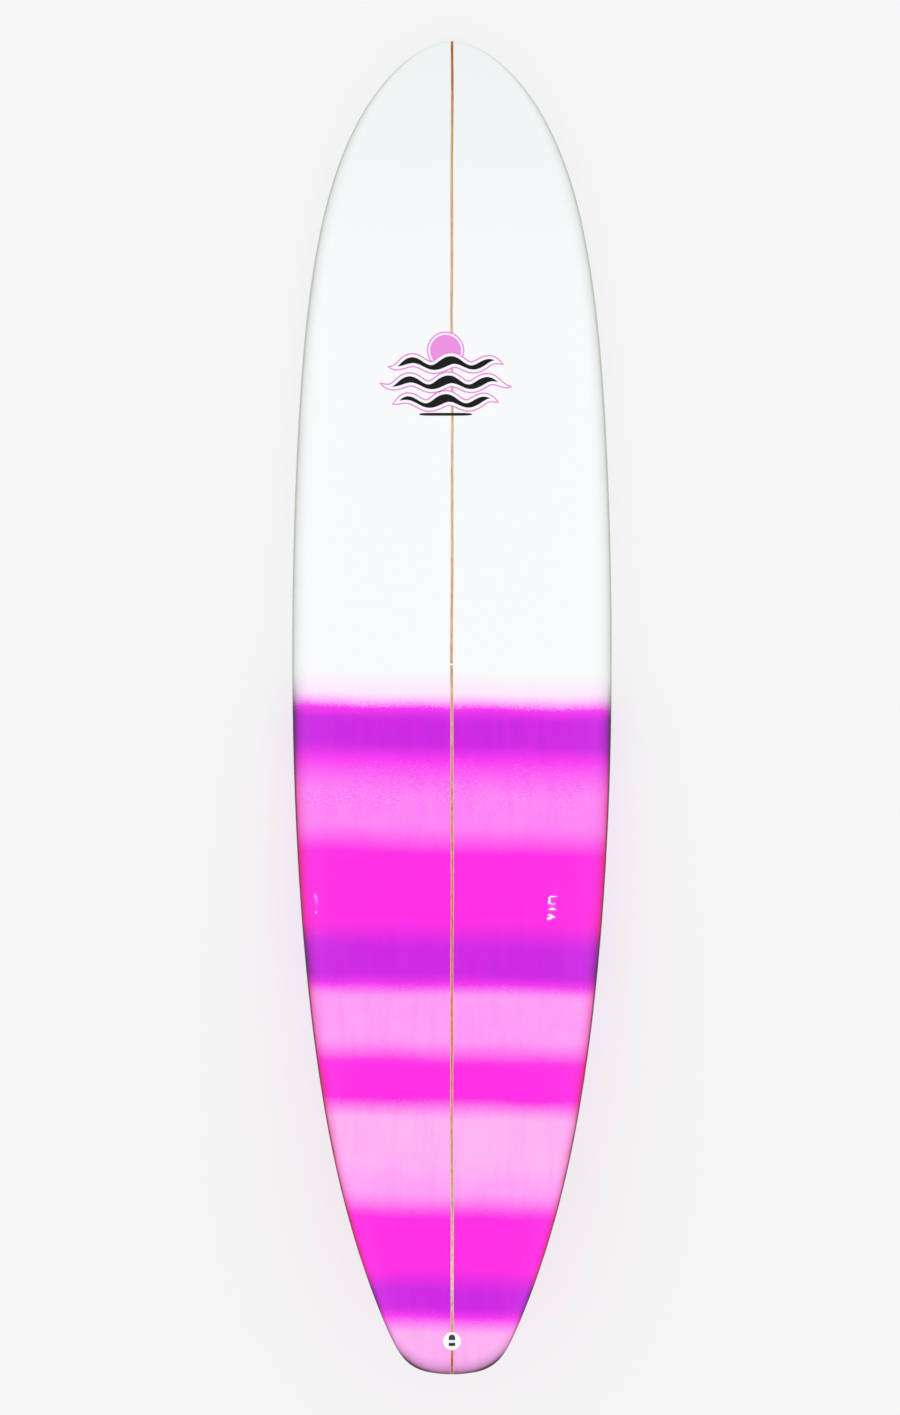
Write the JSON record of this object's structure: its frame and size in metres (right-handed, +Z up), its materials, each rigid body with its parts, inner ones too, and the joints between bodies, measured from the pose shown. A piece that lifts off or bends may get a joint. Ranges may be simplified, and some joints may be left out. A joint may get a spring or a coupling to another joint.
{
  "type": "surfboard",
  "caption": "Round-nosed mini longboard in foam and glass: wooden stringer, airbrushed bands, leash plug, centre fin in a slotted box and side fins in plugs.",
  "frame": {"origin": "on the ground under the middle of the board's bounding box, as the board lies deck up on its centre fin and the forward part of its bottom", "axes": "+Y along the board towards the nose, +Z up out of the deck, +X to the right of a rider facing the nose"},
  "size_m": [0.5504, 2.2818, 0.2104],
  "materials": {
    "foam": "shaped polyurethane foam, fine open grain",
    "stringer_wood": "bare basswood under clear resin",
    "deck_glass": "polished resin over an airbrush in bands of white, pinks and purple",
    "bottom_glass": "polished resin over an airbrush in bands of white, pinks and purple",
    "emblem_tissue": "printed tissue under clear resin",
    "cup_plastic": "white moulded nylon",
    "bar_nylon": "white nylon rod",
    "box_plastic": "white moulded polycarbonate",
    "fin_plastic": "black glass-filled nylon, semi-gloss",
    "roll_pin_brass": "plain brass",
    "screw_steel": "stainless steel"
  },
  "bodies": {
    "board": {"bottom_laminate": "bottom_glass", "centre_fin_box": "box_plastic", "deck_emblem": "emblem_tissue", "deck_laminate": "deck_glass", "foam_left": "foam", "foam_right": "foam", "grub_screw_left_front": "screw_steel", "grub_screw_left_rear": "screw_steel", "grub_screw_right_front": "screw_steel", "grub_screw_right_rear": "screw_steel", "leash_bar": "bar_nylon", "leash_cup": "cup_plastic", "side_fin_left": "fin_plastic", "side_fin_plug_left_front": "box_plastic", "side_fin_plug_left_rear": "box_plastic", "side_fin_plug_right_front": "box_plastic", "side_fin_plug_right_rear": "box_plastic", "side_fin_right": "fin_plastic", "stringer": "stringer_wood"},
    "centre_fin": {"centre_fin": "fin_plastic", "fin_roll_pin": "roll_pin_brass", "fin_plate": "screw_steel"},
    "fin_screw": {"fin_screw": "screw_steel"}
  },
  "joints": [
    {"name": "centre_fin_slide", "type": "slide", "parent": "board", "child": "centre_fin", "axis": [0, 0.9834, -0.1812], "range_m": [-0.04, 0.04]},
    {"name": "fin_screw_turn", "type": "hinge", "parent": "centre_fin", "child": "fin_screw", "pos_m": [0, -0.83719, 0.12769], "axis": [0, -0.1812, -0.9834], "continuous": true}
  ]
}
